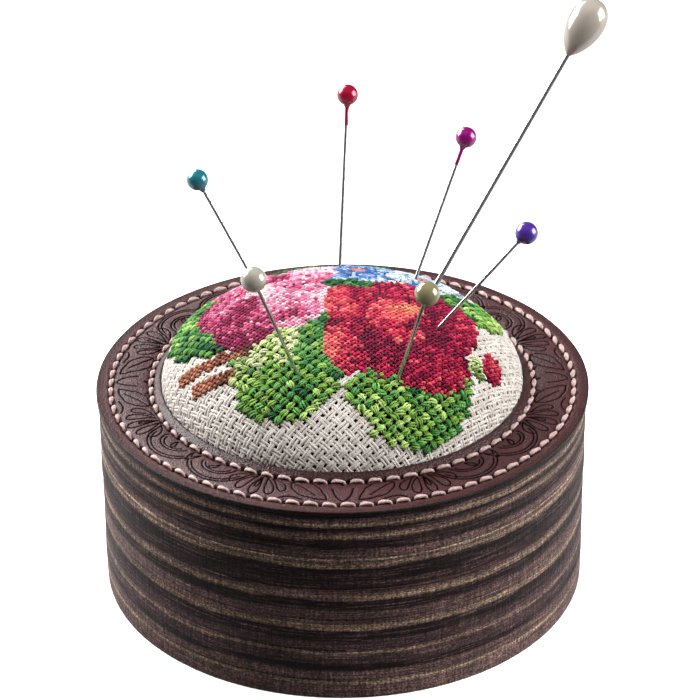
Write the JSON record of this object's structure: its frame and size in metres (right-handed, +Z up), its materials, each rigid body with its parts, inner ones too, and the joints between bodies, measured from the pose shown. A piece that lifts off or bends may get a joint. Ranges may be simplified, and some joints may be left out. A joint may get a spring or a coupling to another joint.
{
  "type": "pin cushion box",
  "caption": "Round lidded wooden box with a padded embroidered pin cushion in its leather-trimmed lid, stuck with ball-headed pins.",
  "frame": {"origin": "centre of the underside of the box", "axes": "+Z up through the crown of the cushion, -Y towards the front of the embroidery, +X to its right"},
  "size_m": [0.0943, 0.09, 0.0998],
  "materials": {
    "box_plywood": "dark stained plywood with laser-cut edges",
    "lid_plywood": "dark stained plywood with laser-cut edges",
    "leather": "tooled, satin mauve-brown",
    "seam_thread": "waxed thread, pale pink",
    "backing_card": "plain stiff card",
    "wadding": "soft wadding",
    "embroidered_canvas": "evenweave canvas with counted cross stitch",
    "pin_steel": "polished",
    "teal_bead": "pearlised gloss",
    "white_bead": "pearl",
    "red_bead": "gloss",
    "magenta_bead": "pearlised gloss",
    "purple_bead": "pearlised gloss",
    "cream_bead": "pearl",
    "corsage_bead": "pearl"
  },
  "bodies": {
    "box": {"base_sheet": "box_plywood", "wall_sheet_1": "box_plywood", "wall_sheet_2": "box_plywood", "wall_sheet_3": "box_plywood", "wall_sheet_4": "box_plywood"},
    "lid": {"lid_locating_ring": "lid_plywood", "lid_bottom_sheet": "lid_plywood", "lid_middle_ring": "lid_plywood", "lid_top_ring": "lid_plywood", "leather_ring": "leather", "outer_seam_thread": "seam_thread", "inner_seam_thread": "seam_thread", "cushion_backing_disc": "backing_card", "cushion_filling": "wadding", "cushion_cover": "embroidered_canvas"},
    "teal_pin": {"teal_pin_shaft": "pin_steel", "teal_pin_head": "teal_bead"},
    "white_pin": {"white_pin_shaft": "pin_steel", "white_pin_head": "white_bead"},
    "red_pin": {"red_pin_shaft": "pin_steel", "red_pin_head": "red_bead"},
    "magenta_pin": {"magenta_pin_shaft": "pin_steel", "magenta_pin_head": "magenta_bead"},
    "purple_pin": {"purple_pin_shaft": "pin_steel", "purple_pin_head": "purple_bead"},
    "cream_pin": {"cream_pin_shaft": "pin_steel", "cream_pin_head": "cream_bead"},
    "corsage_pin": {"corsage_pin_shaft": "pin_steel", "corsage_pin_head": "corsage_bead"}
  },
  "joints": [
    {"name": "lid_lift", "type": "slide", "parent": "box", "child": "lid", "axis": [0, 0, 1], "range_m": [0, 0.06]},
    {"name": "teal_pin_slide", "type": "slide", "parent": "lid", "child": "teal_pin", "axis": [-0.4811, 0.4182, 0.7705], "range_m": [-0.009, 0.018]},
    {"name": "white_pin_slide", "type": "slide", "parent": "lid", "child": "white_pin", "axis": [-0.2844, -0.2795, 0.9171], "range_m": [-0.003, 0.0185]},
    {"name": "red_pin_slide", "type": "slide", "parent": "lid", "child": "red_pin", "axis": [0.0544, 0.4191, 0.9063], "range_m": [-0.01, 0.011]},
    {"name": "magenta_pin_slide", "type": "slide", "parent": "lid", "child": "magenta_pin", "axis": [0.3428, 0.3943, 0.8526], "range_m": [-0.007, 0.015]},
    {"name": "purple_pin_slide", "type": "slide", "parent": "lid", "child": "purple_pin", "axis": [0.6028, -0.0847, 0.7934], "range_m": [-0.008, 0.0175]},
    {"name": "cream_pin_slide", "type": "slide", "parent": "lid", "child": "cream_pin", "axis": [0.1995, -0.3599, 0.9114], "range_m": [-0.003, 0.0185]},
    {"name": "corsage_pin_slide", "type": "slide", "parent": "lid", "child": "corsage_pin", "axis": [0.5017, 0.3196, 0.8039], "range_m": [-0.005, 0.018]}
  ]
}
